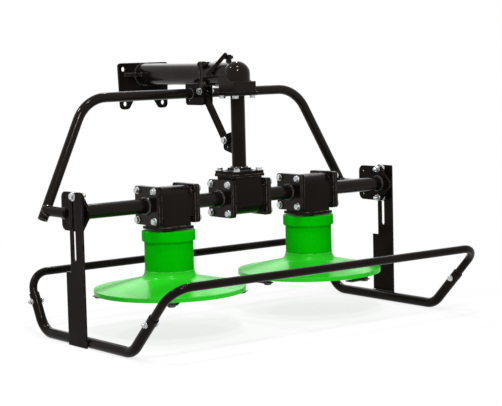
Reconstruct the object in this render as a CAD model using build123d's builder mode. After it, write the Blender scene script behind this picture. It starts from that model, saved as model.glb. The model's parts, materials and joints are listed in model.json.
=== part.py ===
from build123d import *
import math
import os

# Disc mower for a walking tractor, in millimetres. X runs along the cross tubes, left is -X,
# +Y points back to the mounting plate and Z is up from the floor under the skids.

# Main layout
OVERALL_LENGTH = 1072.0
ROTOR_Y = -31.0
ROTOR_SPACING = 596.0
AXLE_Z = 426.0
DRIVE_Z = 840.0
SEAT_GAP = 0.2
RUN_GAP = 0.08

# Pipes
FRAME_PIPE = 48.3
FRAME_WALL = 3.6
RAIL_PIPE = 33.7
RAIL_WALL = 3.2
GUARD_PIPE = 26.9
GUARD_WALL = 2.6
DRIVE_PIPE = 76.0
DRIVE_WALL = 4.0

# Gearbox castings on the cross tubes
BOX_LENGTH = 154.0
BOX_FLANGE = 126.0
BOX_FLANGE_THICK = 12.0
BOX_CORNER = 10.0
BOX_BODY_WIDTH = 108.0
BOX_BACK_REACH = 58.0
BOX_FRONT_REACH = 40.0
BOX_BACK_ROUND = 48.0
BOX_ROOT_ROUND = 4.0
NECK_SETBACK = 8.0
NECK_REACH = 80.0
NECK_FLANGE = 124.0
NECK_FLANGE_THICK = 9.0
NECK_ROUND = 8.0
SHAFT_POCKET = 60.0

# Flanged cross tubes and their bolts
TUBE_PLATE_THICK = 8.0
TUBE_BOLT_SPACING = 96.0
TUBE_PLATE_HOLE = 13.2

# Rotors
SHAFT_DIAMETER = 40.0
HUB_THICK = 8.0
ROTOR_GAP = 5.0
COLLAR_STEP = 7.5
COLLAR_HEIGHT = 34.0
COLLAR_ROUND = 3.0
DRUM_DIAMETER = 161.0
DRUM_WALL = 4.5
DRUM_LID = 6.0
DISC_DIAMETER = 500.0
ROTOR_HEIGHT = 202.0
SKIRT_HEIGHT = 14.0
CREASE_INSET = 42.0
CREASE_RISE = 22.0
CONE_TOP_RISE = 49.0
FLARE_ROUND = 26.0
FLARE_HEIGHT = 72.0
FLARE_STEP = 2.0
DISC_SHEET = 5.0
KNIFE_RING_WIDTH = 46.0

# Knives
KNIVES_PER_ROTOR = 4
KNIFE_PIVOT_INSET = 15.0
KNIFE_REACH = 82.0
KNIFE_WIDTH = 40.0
KNIFE_THICK = 4.0
KNIFE_BEVEL = 10.0
KNIFE_GRIND = 9.0
KNIFE_EDGE = 1.2
KNIFE_DROP = 5.5
KNIFE_PLAY = 0.3
PIN_DIAMETER = 16.0
PIN_HEAD_DIAMETER = 26.0
PIN_HEAD_THICK = 6.0
PIN_HEAD_BEVEL = 2.0
LEFT_PHASE = -34.0
RIGHT_PHASE = -77.0
LEFT_TRAIL = 170.0
RIGHT_TRAIL = 98.0

# Skids, guards and the slotted plates that carry them
SKID_X = 634.5
SKID_FRONT = 276.5
SKID_BACK = 242.5
SKID_BEND = 80.0
GUARD_BEND = 70.0
FRONT_GUARD_Z = 234.0
REAR_GUARD_Y = 334.0
REAR_GUARD_Z = 200.5
FRONT_SLEEVE = 170.0
REAR_SLEEVE = 134.0
GUARD_INSERT = 58.0
SLEEVE_BOLT_BACK = 28.0
SLEEVE_BOLT = 10.0
SKID_PLATE_THICK = 6.0
SKID_PLATE_BOTTOM = 2.0
SKID_PLATE_FRONT = 50.0
SKID_PLATE_BACK = 25.0
SKID_PLATE_FOOT = 54.0
SKID_PLATE_STEP = 236.5
SKID_PLATE_ROUND = 6.0
SKID_TRAVEL = 90.0
SLOT_END_GAP = 2.0
SLOT_STOP = 0.8
SLOT_LIP = 7.2
CLAMP_BOLT = 12.0
CLAMP_SPACING = 104.0
CLAMP_WASHER = 30.0
CLAMP_WASHER_THICK = 2.5
CLAMP_NUT = 10.0
SLOT_PLAY = 2.5

# End flanges of the outer tubes
END_FLANGE_THICK = 8.0
END_FLANGE_HEIGHT = 124.0
END_FLANGE_NOSE = 61.0
END_FLANGE_NOSE_HEIGHT = 16.0
END_FLANGE_SHOULDER = 13.0
END_FLANGE_BACK = 101.0
END_FLANGE_ROUND = 22.0
SPARE_HOLE = 11.0
SPARE_HOLE_INSET = 20.0
SPARE_HOLE_SPACING = 84.0

# Column between the middle gearbox and the top gearbox
COLUMN_PLATE = 122.0
COLUMN_PLATE_THICK = 10.0
COLUMN_PAD = 60.0
COLUMN_PAD_THICK = 9.0
HEAD_PLATE = 102.0
HEAD_PLATE_THICK = 11.0
HEAD_DROP = 60.0
LUG_THICK = 8.0
LUG_REACH = 56.0
LUG_RISE = 53.0
LUG_HEIGHT = 78.0
LUG_TAPER = 14.0
LUG_ROUND = 12.0
LUG_HOLE_REACH = 38.0
LUG_HOLE_RISE = 23.0

# Top gearbox
DOME_RADIUS = 44.0
ELBOW_BLOCK = 92.0
ELBOW_BLOCK_HEIGHT = 35.0
ELBOW_ROUND = 5.0
CHEEK_THICK = 9.0
CHEEK_SLOPE_FRONT = 20.0
CHEEK_SLOPE_BACK = 17.0
NECK_TUBE_RADIUS = 40.0
DRIVE_FLANGE_Y = 150.0
DRIVE_FLANGE = 88.0
DRIVE_FLANGE_THICK = 10.0
DRIVE_FLANGE_SCALLOP = 90.0
DRIVE_FLANGE_WAIST = 39.0
DRIVE_BOLT_SPACING = 68.0
DRIVE_BOLT_HOLE = 11.0

# Shift lever on the top gearbox
LEVER_PIN_Y = 44.0
LEVER_PIN_RISE = 56.0
LEVER_PIN_DIAMETER = 12.0
LEVER_PIN_RIGHT = 8.0
LEVER_BOSS_WIDTH = 14.0
LEVER_BOSS_LENGTH = 20.0
LEVER_BOSS_CROWN = 9.0
LEVER_X = -18.0
LEVER_THICK = 6.0
LEVER_WIDTH = 13.0
LEVER_DROP = 58.0
LEVER_RUN = 50.0
LEVER_SPREAD = 28.0
LEVER_TIP = 12.0

# Mounting plate and what stiffens it
PLATE_THICK = 9.0
PLATE_RISE = 42.0
PLATE_TOP_HALF = 109.0
PLATE_WAIST_DROP = 88.0
TAB_LENGTH = 37.0
TAB_OUTER_HALF = 102.0
TAB_INNER_HALF = 66.0
TAB_ROOT_HALF = 42.0
TAB_ROUND = 15.0
TAB_HOLE_X = 82.0
TAB_HOLE_INSET = 20.0
TOP_HOLE_X = 87.0
TOP_HOLE_INSET = 22.0
PLATE_HOLE = 17.0
GUSSET_LENGTH = 46.0
GUSSET_REACH = 46.0
GUSSET_THICK = 8.0

# Drive coupling inside the mounting end of the drive tube
COUPLING_DIAMETER = 46.0
COUPLING_LENGTH = 70.0
COUPLING_BORE = 25.0
COUPLING_BORE_DEPTH = 60.0
COUPLING_RECESS = 2.0
COUPLING_CLEAR = 6.0
CARRIER_LENGTH = 24.0
CARRIER_RECESS = 22.0

# Hoop and the bracket that holds it under the drive tube
HOOP_TOP_HALF = 449.0
HOOP_TOP_Y = 239.5
HOOP_TOP_DROP = 66.5
HOOP_FOOT_Y = 206.5
HOOP_STUB_DROP = 8.0
HOOP_FOOT_DROP = 33.0
STUB_SLOT = 24.0
HOOP_BEND = 130.0
CHEEK_PLATE_X = 17.0
CHEEK_PLATE_THICK = 8.0
CHEEK_CLEAR = 8.0
CHEEK_BACK = 270.0
CHEEK_DEPTH = 107.0
CHEEK_ROUND = 12.0
CHEEK_SPARE_Y = 252.0
CHEEK_SPARE_RISE = 15.0

# Brace from the bracket to the column
BRACE_X = -8.0
BRACE_WIDTH = 29.0
BRACE_THICK = 8.0
BRACE_TOP_Y = 184.0
BRACE_TOP_DROP = 59.0
BRACE_FOOT_RISE = 47.0
BRACE_BOLT = 12.0

# Bolt heads: width across flats and height, as shares of the thread
HEAD_FLATS = 1.55
HEAD_HEIGHT = 0.64
HOLE_PLAY = 0.15

# Heights and places that follow from the sizes above
BACK_Y = OVERALL_LENGTH / 2
FRONT_GUARD_Y = GUARD_PIPE / 2 - OVERALL_LENGTH / 2
RAIL_R = RAIL_PIPE / 2
SKID_Z = RAIL_R
PLATE_IN_X = SKID_X + RAIL_R + SEAT_GAP
FLANGE_OUT_X = PLATE_IN_X - CLAMP_WASHER_THICK - CLAMP_NUT - 2 * SEAT_GAP
FLANGE_IN_X = FLANGE_OUT_X - END_FLANGE_THICK
STUB_X = (FLANGE_IN_X + FLANGE_OUT_X) / 2
ROTOR_X = ROTOR_SPACING / 2
BARREL_HALF = BOX_LENGTH / 2 - BOX_FLANGE_THICK
NECK_LENGTH = 2 * (BARREL_HALF - NECK_SETBACK)
COLLAR_TOP = AXLE_Z - NECK_REACH - ROTOR_GAP
RIM_Z = COLLAR_TOP - ROTOR_HEIGHT
DISC_RADIUS = DISC_DIAMETER / 2
COLLAR_DIAMETER = DRUM_DIAMETER + 2 * COLLAR_STEP
CREASE_RADIUS = DISC_RADIUS - CREASE_INSET
KNIFE_PIVOT_RADIUS = DISC_RADIUS - KNIFE_PIVOT_INSET
KNIFE_TOP = RIM_Z - KNIFE_DROP
PAD_Z = AXLE_Z + NECK_REACH + COLUMN_PLATE_THICK
HEAD_Z = DRIVE_Z - HEAD_DROP
COLUMN_TOP = HEAD_Z - HEAD_PLATE_THICK
LUG_BOTTOM = PAD_Z + LUG_RISE
LUG_TOP = LUG_BOTTOM + LUG_HEIGHT
LUG_HOLE_LOW = LUG_BOTTOM + LUG_HOLE_RISE
BRACE_FOOT_Z = LUG_BOTTOM + BRACE_FOOT_RISE
LUG_HOLE_Y = ROTOR_Y + FRAME_PIPE / 2 + LUG_HOLE_REACH
LEVER_PIN_Z = DRIVE_Z + LEVER_PIN_RISE
PLATE_FRONT_Y = BACK_Y - PLATE_THICK
PLATE_TOP = DRIVE_Z + PLATE_RISE
PLATE_WAIST = DRIVE_Z - PLATE_WAIST_DROP
TAB_BOTTOM = PLATE_WAIST - TAB_LENGTH
TAB_HOLE_Z = TAB_BOTTOM + TAB_HOLE_INSET
TOP_HOLE_Z = PLATE_TOP - TOP_HOLE_INSET
FLANGE_Y = ROTOR_Y + DRIVE_FLANGE_Y
HOOP_TOP_Z = DRIVE_Z - HOOP_TOP_DROP
HOOP_STUB_Z = AXLE_Z - HOOP_STUB_DROP
CHEEK_FRONT = DRIVE_FLANGE_Y + DRIVE_FLANGE_THICK + CHEEK_CLEAR
CHEEK_BOTTOM = DRIVE_Z - CHEEK_DEPTH
CHEEK_SPARE_Z = CHEEK_BOTTOM + CHEEK_SPARE_RISE
BRACE_TOP_Z = DRIVE_Z - BRACE_TOP_DROP
SLOT_R = CLAMP_BOLT / 2 + SLOT_PLAY
SLOT_BOTTOM = AXLE_Z - CLAMP_SPACING / 2 - SKID_TRAVEL - SLOT_R - SLOT_END_GAP
SLOT_TOP = AXLE_Z + CLAMP_SPACING / 2 + CLAMP_BOLT / 2 + SLOT_STOP
SKID_PLATE_TOP = SLOT_TOP + SLOT_LIP
SIDES = (("left", -1), ("right", 1))
CLAMP_ENDS = {"left": (1,), "right": (-1, 1)}

os.makedirs("parts", exist_ok=True)


def keep(builder, name):
    builder.part.label = name
    export_step(builder.part, f"parts/{name}.step")


def facing_x(x, y, z):
    """Sketch plane that looks along X, with Y and Z as its own axes."""
    return Plane((x, y, z), x_dir=(0, 1, 0), z_dir=(1, 0, 0))


def facing_front(x, y, z):
    """Sketch plane that looks to the front, with X and Z as its own axes."""
    return Plane((x, y, z), x_dir=(1, 0, 0), z_dir=(0, -1, 0))


def straight_pipe(plane, length, outer, wall):
    with BuildPart() as pipe:
        with BuildSketch(plane):
            Circle(outer / 2)
            Circle(outer / 2 - wall, mode=Mode.SUBTRACT)
        extrude(amount=length)
    return pipe.part


def bent_pipe(points, bend, outer, wall):
    with BuildPart() as pipe:
        with BuildLine() as path:
            FilletPolyline(*points, radius=bend)
        with BuildSketch(Plane(path.line @ 0, z_dir=path.line % 0)):
            Circle(outer / 2)
            Circle(outer / 2 - wall, mode=Mode.SUBTRACT)
        sweep()
    return pipe.part


def cross_bolt(x, y, z, grip, thread):
    """Hex bolt along X with its head at the low end and its nut at the high end of the grip."""
    head = HEAD_HEIGHT * thread
    with BuildPart() as bolt:
        with BuildSketch(facing_x(x, y, z)):
            Circle(thread / 2)
        extrude(amount=grip)
        with BuildSketch(facing_x(x - head, y, z), facing_x(x + grip, y, z)):
            RegularPolygon(HEAD_FLATS * thread / 2, 6, major_radius=False)
        extrude(amount=head)
    return bolt.part


def along(start, end, distance):
    """Point at a distance from start on the line towards end."""
    start = Vector(*start)
    return start + (Vector(*end) - start).normalized() * distance


def barrel_roots(edges, middle):
    """Edges where a gearbox's barrel runs into its flanges, all but the straight ones beside the neck."""
    roots = []
    for edge in edges:
        place = middle.to_local_coords(edge.center())
        at_flange = abs(abs(place.X) - BARREL_HALF) < SEAT_GAP
        on_barrel = abs(place.Y) < BOX_BODY_WIDTH / 2 + SEAT_GAP
        if at_flange and on_barrel and -BOX_BACK_REACH - SEAT_GAP < place.Z < BOX_FRONT_REACH - SEAT_GAP:
            roots.append(edge)
    return roots


def gearbox(x, neck_up, shaft_pocket):
    """Flanged casting on the cross tube axis, its neck upwards or downwards."""
    middle = Plane((x, ROTOR_Y, AXLE_Z), x_dir=(1, 0, 0), z_dir=(0, 0, 1 if neck_up else -1))
    barrel_end = Plane(middle.origin, x_dir=middle.y_dir, z_dir=middle.x_dir).offset(-BARREL_HALF)
    flange_planes = [facing_x(x + low, ROTOR_Y, AXLE_Z) for low in (-BOX_LENGTH / 2, BARREL_HALF)]
    with BuildPart() as box:
        with BuildSketch(barrel_end):
            with BuildLine():
                Polyline((-BOX_BODY_WIDTH / 2, BOX_FRONT_REACH), (-BOX_BODY_WIDTH / 2, -BOX_BACK_REACH),
                         (BOX_BODY_WIDTH / 2, -BOX_BACK_REACH), (BOX_BODY_WIDTH / 2, BOX_FRONT_REACH),
                         close=True)
            fillet(make_face().vertices().group_by(Axis.Y)[0], BOX_BACK_ROUND)
        extrude(amount=2 * BARREL_HALF)
        with BuildSketch(middle):
            RectangleRounded(NECK_LENGTH, BOX_BODY_WIDTH, NECK_ROUND)
        extrude(amount=NECK_REACH - NECK_FLANGE_THICK)
        with BuildSketch(middle.offset(NECK_REACH - NECK_FLANGE_THICK)):
            RectangleRounded(NECK_FLANGE, NECK_FLANGE, NECK_ROUND)
        extrude(amount=NECK_FLANGE_THICK)
        with BuildSketch(*flange_planes):
            RectangleRounded(BOX_FLANGE, BOX_FLANGE, BOX_CORNER)
        extrude(amount=BOX_FLANGE_THICK)
        fillet(barrel_roots(box.edges(), middle), BOX_ROOT_ROUND)
        with BuildSketch(*flange_planes):
            with GridLocations(TUBE_BOLT_SPACING, TUBE_BOLT_SPACING, 2, 2):
                Circle(TUBE_PLATE_HOLE / 2)
        extrude(amount=BOX_FLANGE_THICK, mode=Mode.SUBTRACT)
        if shaft_pocket:
            with BuildSketch(middle.offset(NECK_REACH)):
                Circle(SHAFT_DIAMETER / 2 + RUN_GAP)
            extrude(amount=-SHAFT_POCKET, mode=Mode.SUBTRACT)
    return box


def tube_plate(x, thick):
    """Bolted square plate at the end of a cross tube, open where the drive shaft passes."""
    with BuildPart() as plate:
        with BuildSketch(facing_x(x, ROTOR_Y, AXLE_Z)):
            RectangleRounded(BOX_FLANGE, BOX_FLANGE, BOX_CORNER)
            Circle(FRAME_PIPE / 2 - FRAME_WALL, mode=Mode.SUBTRACT)
            with GridLocations(TUBE_BOLT_SPACING, TUBE_BOLT_SPACING, 2, 2):
                Circle(TUBE_PLATE_HOLE / 2, mode=Mode.SUBTRACT)
        extrude(amount=thick)
    return plate.part


def cross_tube(low_x, high_x, low_plate, high_plate):
    """Pipe along X with a bolted plate at one or both ends."""
    pipe = straight_pipe(facing_x(low_x, ROTOR_Y, AXLE_Z), high_x - low_x, FRAME_PIPE, FRAME_WALL)
    plates = []
    if low_plate:
        plates.append(tube_plate(low_x, TUBE_PLATE_THICK))
    if high_plate:
        plates.append(tube_plate(high_x - TUBE_PLATE_THICK, TUBE_PLATE_THICK))
    with BuildPart() as tube:
        add(pipe)
        add(plates)
    return tube


# Gearboxes
keep(gearbox(0, True, False), "centre_gearbox")
for name, side in SIDES:
    keep(gearbox(side * ROTOR_X, False, True), f"rotor_gearbox_{name}")

# Cross tubes
for name, side in SIDES:
    inner = sorted((side * BOX_LENGTH / 2, side * (ROTOR_X - BOX_LENGTH / 2)))
    keep(cross_tube(inner[0], inner[1], True, True), f"inner_tube_{name}")
    outer = sorted((side * (ROTOR_X + BOX_LENGTH / 2), side * FLANGE_IN_X))
    keep(cross_tube(outer[0], outer[1], side > 0, side < 0), f"outer_tube_{name}")

# End flanges with a pointed nose, and the bolts that hold the slotted plates between two nuts; the
# left plate hangs on its upper bolt alone
for name, side in SIDES:
    low_x = min(side * FLANGE_IN_X, side * FLANGE_OUT_X)
    half = END_FLANGE_HEIGHT / 2
    with BuildPart() as end_flange:
        with BuildSketch(facing_x(low_x, ROTOR_Y, AXLE_Z)):
            with BuildLine():
                Polyline((-END_FLANGE_NOSE, -END_FLANGE_NOSE_HEIGHT / 2),
                         (-END_FLANGE_SHOULDER, -half), (END_FLANGE_BACK, -half),
                         (END_FLANGE_BACK, half), (-END_FLANGE_SHOULDER, half),
                         (-END_FLANGE_NOSE, END_FLANGE_NOSE_HEIGHT / 2), close=True)
            fillet(make_face().vertices().group_by(Axis.X)[-1], END_FLANGE_ROUND)
            with GridLocations(0, CLAMP_SPACING, 1, 2):
                Circle(CLAMP_BOLT / 2 + HOLE_PLAY, mode=Mode.SUBTRACT)
            with Locations((END_FLANGE_BACK - SPARE_HOLE_INSET, 0)):
                with GridLocations(0, SPARE_HOLE_SPACING, 1, 2):
                    Circle(SPARE_HOLE / 2, mode=Mode.SUBTRACT)
        extrude(amount=END_FLANGE_THICK)
    keep(end_flange, f"end_flange_{name}")
    levels = [AXLE_Z + end * CLAMP_SPACING / 2 for end in CLAMP_ENDS[name]]
    plate_out = PLATE_IN_X + SKID_PLATE_THICK + SEAT_GAP
    nut_in = FLANGE_OUT_X + SEAT_GAP
    grip_x = sorted((side * (FLANGE_IN_X - SEAT_GAP), side * (plate_out + CLAMP_WASHER_THICK)))
    bolts = [cross_bolt(grip_x[0], ROTOR_Y, z, grip_x[1] - grip_x[0], CLAMP_BOLT) for z in levels]
    with BuildPart() as clamp_bolts:
        add(bolts)
        with BuildSketch(*[facing_x(side * nut_in, ROTOR_Y, z) for z in levels]):
            RegularPolygon(HEAD_FLATS * CLAMP_BOLT / 2, 6, major_radius=False)
        extrude(amount=side * CLAMP_NUT)
        with BuildSketch(*[facing_x(side * x, ROTOR_Y, z) for x in (nut_in + CLAMP_NUT, plate_out)
                           for z in levels]):
            Circle(CLAMP_WASHER / 2)
        extrude(amount=side * CLAMP_WASHER_THICK)
    keep(clamp_bolts, f"clamp_bolts_{name}")

# Rotors: shaft with hub, drum with collar, pressed disc and the pins of the knives
for name, side in SIDES:
    axis_x = side * ROTOR_X
    axis = Axis((axis_x, ROTOR_Y, 0), (0, 0, 1))
    section = facing_front(axis_x, ROTOR_Y, 0)
    drum_foot = RIM_Z + FLARE_HEIGHT
    drum_in = DRUM_DIAMETER / 2 - DRUM_WALL
    phase = LEFT_PHASE if side < 0 else RIGHT_PHASE
    fold = LEFT_TRAIL if side < 0 else RIGHT_TRAIL
    with BuildPart() as rotor_shaft:
        with BuildSketch(Plane((axis_x, ROTOR_Y, drum_foot))):
            Circle(SHAFT_DIAMETER / 2)
        extrude(amount=COLLAR_TOP + ROTOR_GAP + SHAFT_POCKET - SEAT_GAP - drum_foot)
        with BuildSketch(Plane((axis_x, ROTOR_Y, drum_foot))):
            Circle(drum_in - SEAT_GAP)
        extrude(amount=HUB_THICK)
        with BuildSketch(Plane((axis_x, ROTOR_Y, drum_foot))):
            Circle(SHAFT_DIAMETER / 2)
        extrude(amount=-HUB_THICK)
        chamfer(rotor_shaft.faces().sort_by(Axis.Z)[0].edges(), HUB_THICK / 4)
    keep(rotor_shaft, f"rotor_shaft_{name}")

    with BuildPart() as rotor_drum:
        with BuildSketch(section):
            with BuildLine():
                Polyline((drum_in, drum_foot), (DRUM_DIAMETER / 2, drum_foot),
                         (DRUM_DIAMETER / 2, COLLAR_TOP - COLLAR_HEIGHT),
                         (COLLAR_DIAMETER / 2, COLLAR_TOP - COLLAR_HEIGHT),
                         (COLLAR_DIAMETER / 2, COLLAR_TOP),
                         (SHAFT_DIAMETER / 2 + SEAT_GAP, COLLAR_TOP),
                         (SHAFT_DIAMETER / 2 + SEAT_GAP, COLLAR_TOP - DRUM_LID),
                         (drum_in, COLLAR_TOP - DRUM_LID), close=True)
            fillet(make_face().vertices().group_by(Axis.X)[-1], COLLAR_ROUND)
        revolve(axis=axis)
    keep(rotor_drum, f"rotor_drum_{name}")

    ring_in = DISC_RADIUS - KNIFE_RING_WIDTH
    neck_out = DRUM_DIAMETER / 2 + FLARE_STEP
    with BuildPart() as rotor_disc:
        with BuildSketch(section):
            with BuildLine():
                Polyline((ring_in, RIM_Z), (DISC_RADIUS, RIM_Z), (DISC_RADIUS, RIM_Z + SKIRT_HEIGHT),
                         (CREASE_RADIUS, RIM_Z + CREASE_RISE), (neck_out, RIM_Z + CONE_TOP_RISE),
                         (neck_out, drum_foot), (drum_in, drum_foot),
                         (drum_in, RIM_Z + CONE_TOP_RISE - DISC_SHEET),
                         (CREASE_RADIUS, RIM_Z + CREASE_RISE - DISC_SHEET),
                         (DISC_RADIUS - DISC_SHEET, RIM_Z + SKIRT_HEIGHT - DISC_SHEET),
                         (DISC_RADIUS - DISC_SHEET, RIM_Z + DISC_SHEET), (ring_in, RIM_Z + DISC_SHEET),
                         close=True)
            fillet(make_face().vertices().group_by(Axis.Y)[-2], FLARE_ROUND)
        revolve(axis=axis)
        with BuildSketch(Plane((axis_x, ROTOR_Y, RIM_Z))):
            with PolarLocations(KNIFE_PIVOT_RADIUS, KNIVES_PER_ROTOR, phase):
                Circle(PIN_DIAMETER / 2 + HOLE_PLAY)
        extrude(amount=DISC_SHEET, mode=Mode.SUBTRACT)
    keep(rotor_disc, f"rotor_disc_{name}")

    with BuildPart() as knife_pins:
        for radius, top, height in (
                (PIN_HEAD_DIAMETER / 2, RIM_Z, KNIFE_DROP - KNIFE_PLAY),
                (PIN_DIAMETER / 2, RIM_Z + DISC_SHEET, DISC_SHEET + KNIFE_DROP + KNIFE_THICK + KNIFE_PLAY),
                (PIN_HEAD_DIAMETER / 2, KNIFE_TOP - KNIFE_THICK - KNIFE_PLAY, PIN_HEAD_THICK)):
            with BuildSketch(Plane((axis_x, ROTOR_Y, top))):
                with PolarLocations(KNIFE_PIVOT_RADIUS, KNIVES_PER_ROTOR, phase):
                    Circle(radius)
            extrude(amount=-height)
        chamfer(knife_pins.faces().group_by(Axis.Z)[0].edges(), PIN_HEAD_BEVEL)
    keep(knife_pins, f"knife_pins_{name}")

    for number in range(KNIVES_PER_ROTOR):
        angle = phase + number * 360 / KNIVES_PER_ROTOR
        pivot = Vector(axis_x, ROTOR_Y, KNIFE_TOP - KNIFE_THICK) \
            + Vector(KNIFE_PIVOT_RADIUS, 0, 0).rotate(Axis.Z, angle)
        trail = angle - side * fold
        lie = Plane(pivot, x_dir=Vector(1, 0, 0).rotate(Axis.Z, trail), z_dir=(0, 0, 1))
        half = KNIFE_WIDTH / 2
        with BuildPart() as knife:
            with BuildSketch(lie):
                with BuildLine():
                    Line((0, half), (KNIFE_REACH, half))
                    Line((KNIFE_REACH, half), (KNIFE_REACH, KNIFE_BEVEL - half))
                    Line((KNIFE_REACH, KNIFE_BEVEL - half), (KNIFE_REACH - KNIFE_BEVEL, -half))
                    Line((KNIFE_REACH - KNIFE_BEVEL, -half), (0, -half))
                    ThreePointArc((0, -half), (-half, 0), (0, half))
                make_face()
                Circle(PIN_DIAMETER / 2 + RUN_GAP, mode=Mode.SUBTRACT)
            extrude(amount=KNIFE_THICK)
            top_face = knife.faces().sort_by(Axis.Z)[-1]
            long_edges = [edge for edge in top_face.edges().filter_by(GeomType.LINE)
                          if edge.length > KNIFE_REACH / 2]
            chamfer(long_edges, KNIFE_GRIND, KNIFE_THICK - KNIFE_EDGE, reference=top_face)
        keep(knife, f"knife_{name}_{number + 1}")

# Column with its base plate, head plate and the lug of the brace
column_length = COLUMN_TOP - PAD_Z
column = straight_pipe(Plane((0, ROTOR_Y, PAD_Z)), column_length, FRAME_PIPE, FRAME_WALL)
with BuildPart() as column_tube:
    add(column)
keep(column_tube, "column_tube")

with BuildPart() as column_base:
    with BuildSketch(Plane((0, ROTOR_Y, PAD_Z - COLUMN_PLATE_THICK))):
        RectangleRounded(COLUMN_PLATE, COLUMN_PLATE, BOX_CORNER)
        Circle(FRAME_PIPE / 2 - FRAME_WALL, mode=Mode.SUBTRACT)
    extrude(amount=COLUMN_PLATE_THICK)
    with BuildSketch(Plane((0, ROTOR_Y, PAD_Z))):
        RectangleRounded(COLUMN_PAD, COLUMN_PAD, BOX_CORNER / 2)
        Circle(FRAME_PIPE / 2 + SEAT_GAP, mode=Mode.SUBTRACT)
    extrude(amount=COLUMN_PAD_THICK)
keep(column_base, "column_base")

with BuildPart() as column_head:
    with BuildSketch(Plane((0, ROTOR_Y, COLUMN_TOP))):
        RectangleRounded(HEAD_PLATE, HEAD_PLATE, BOX_CORNER / 2)
        Circle(FRAME_PIPE / 2 - FRAME_WALL, mode=Mode.SUBTRACT)
    extrude(amount=HEAD_PLATE_THICK)
keep(column_head, "column_head")

lug_root = ROTOR_Y + FRAME_PIPE / 2 + SEAT_GAP
with BuildPart() as column_lug:
    with BuildSketch(facing_x(-LUG_THICK / 2, 0, 0)):
        with BuildLine():
            Polyline((lug_root, LUG_BOTTOM), (lug_root + LUG_REACH, LUG_BOTTOM + LUG_TAPER),
                     (lug_root + LUG_REACH, LUG_TOP - LUG_TAPER), (lug_root, LUG_TOP), close=True)
        fillet(make_face().vertices().group_by(Axis.X)[-1], LUG_ROUND)
        with Locations((LUG_HOLE_Y, BRACE_FOOT_Z), (LUG_HOLE_Y, LUG_HOLE_LOW)):
            Circle(BRACE_BOLT / 2 + HOLE_PLAY, mode=Mode.SUBTRACT)
    extrude(amount=LUG_THICK)
keep(column_lug, "column_lug")

# Top gearbox: square foot, domed elbow, side cheeks and a neck with an eared flange
with BuildPart() as top_gearbox:
    with BuildSketch(Plane((0, ROTOR_Y, HEAD_Z))):
        RectangleRounded(ELBOW_BLOCK, ELBOW_BLOCK, ELBOW_ROUND)
    extrude(amount=ELBOW_BLOCK_HEIGHT)
    with BuildSketch(Plane((0, ROTOR_Y, HEAD_Z))):
        Circle(DOME_RADIUS)
    extrude(amount=DRIVE_Z - HEAD_Z)
    with Locations((0, ROTOR_Y, DRIVE_Z)):
        Sphere(DOME_RADIUS)
    with BuildSketch(facing_front(0, FLANGE_Y, DRIVE_Z)):
        Circle(NECK_TUBE_RADIUS)
    extrude(amount=DRIVE_FLANGE_Y)
    for side_x in (-ELBOW_BLOCK / 2, ELBOW_BLOCK / 2 - CHEEK_THICK):
        with BuildSketch(facing_x(side_x, ROTOR_Y, 0)):
            with BuildLine():
                Polyline((-CHEEK_SLOPE_FRONT, HEAD_Z + ELBOW_BLOCK_HEIGHT), (CHEEK_SLOPE_BACK, DRIVE_Z),
                         (ELBOW_BLOCK / 2, DRIVE_Z), (ELBOW_BLOCK / 2, HEAD_Z + ELBOW_BLOCK_HEIGHT),
                         close=True)
            make_face()
        extrude(amount=CHEEK_THICK)
    with BuildSketch(facing_front(0, FLANGE_Y, DRIVE_Z)):
        RectangleRounded(DRIVE_FLANGE, DRIVE_FLANGE, ELBOW_ROUND)
        with PolarLocations(DRIVE_FLANGE_WAIST + DRIVE_FLANGE_SCALLOP, 4):
            Circle(DRIVE_FLANGE_SCALLOP, mode=Mode.SUBTRACT)
        with GridLocations(DRIVE_BOLT_SPACING, DRIVE_BOLT_SPACING, 2, 2):
            Circle(DRIVE_BOLT_HOLE / 2, mode=Mode.SUBTRACT)
    extrude(amount=DRIVE_FLANGE_THICK)
    with BuildSketch(Plane((0, ROTOR_Y + LEVER_PIN_Y, DRIVE_Z))):
        RectangleRounded(LEVER_BOSS_WIDTH, LEVER_BOSS_LENGTH, ELBOW_ROUND)
    extrude(amount=LEVER_PIN_Z + LEVER_BOSS_CROWN - DRIVE_Z)
    with Locations((0, ROTOR_Y + LEVER_PIN_Y, LEVER_PIN_Z)):
        Cylinder(LEVER_PIN_DIAMETER / 2 + HOLE_PLAY, 2 * LEVER_BOSS_WIDTH, rotation=(0, 90, 0),
                 mode=Mode.SUBTRACT)
keep(top_gearbox, "top_gearbox")

# Shift lever: a pin across the boss and a flat arm that spreads outwards down the left of the neck
lever_pin = Vector(LEVER_X - LEVER_THICK / 2, ROTOR_Y + LEVER_PIN_Y, LEVER_PIN_Z)
arm_line = Vector(-LEVER_SPREAD, LEVER_RUN, -LEVER_DROP)
arm_side = Vector(0, LEVER_DROP, LEVER_RUN).cross(arm_line)
with BuildPart() as shift_lever:
    with BuildSketch(facing_x(lever_pin.X, lever_pin.Y, lever_pin.Z)):
        Circle(LEVER_PIN_DIAMETER / 2)
    extrude(amount=LEVER_BOSS_WIDTH / 2 + LEVER_PIN_RIGHT - lever_pin.X)
    with BuildSketch(Plane(lever_pin, x_dir=arm_line, z_dir=arm_side)):
        with Locations(((arm_line.length - LEVER_TIP) / 2, 0)):
            SlotCenterToCenter(arm_line.length + LEVER_TIP, LEVER_WIDTH)
    extrude(amount=LEVER_THICK)
keep(shift_lever, "shift_lever")

# Drive tube with its eared flange, and the coupling in its mounting end
drive_pipe = straight_pipe(facing_front(0, PLATE_FRONT_Y, DRIVE_Z),
                           PLATE_FRONT_Y - FLANGE_Y - DRIVE_FLANGE_THICK, DRIVE_PIPE, DRIVE_WALL)
with BuildPart() as drive_tube:
    add(drive_pipe)
keep(drive_tube, "drive_tube")

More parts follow.
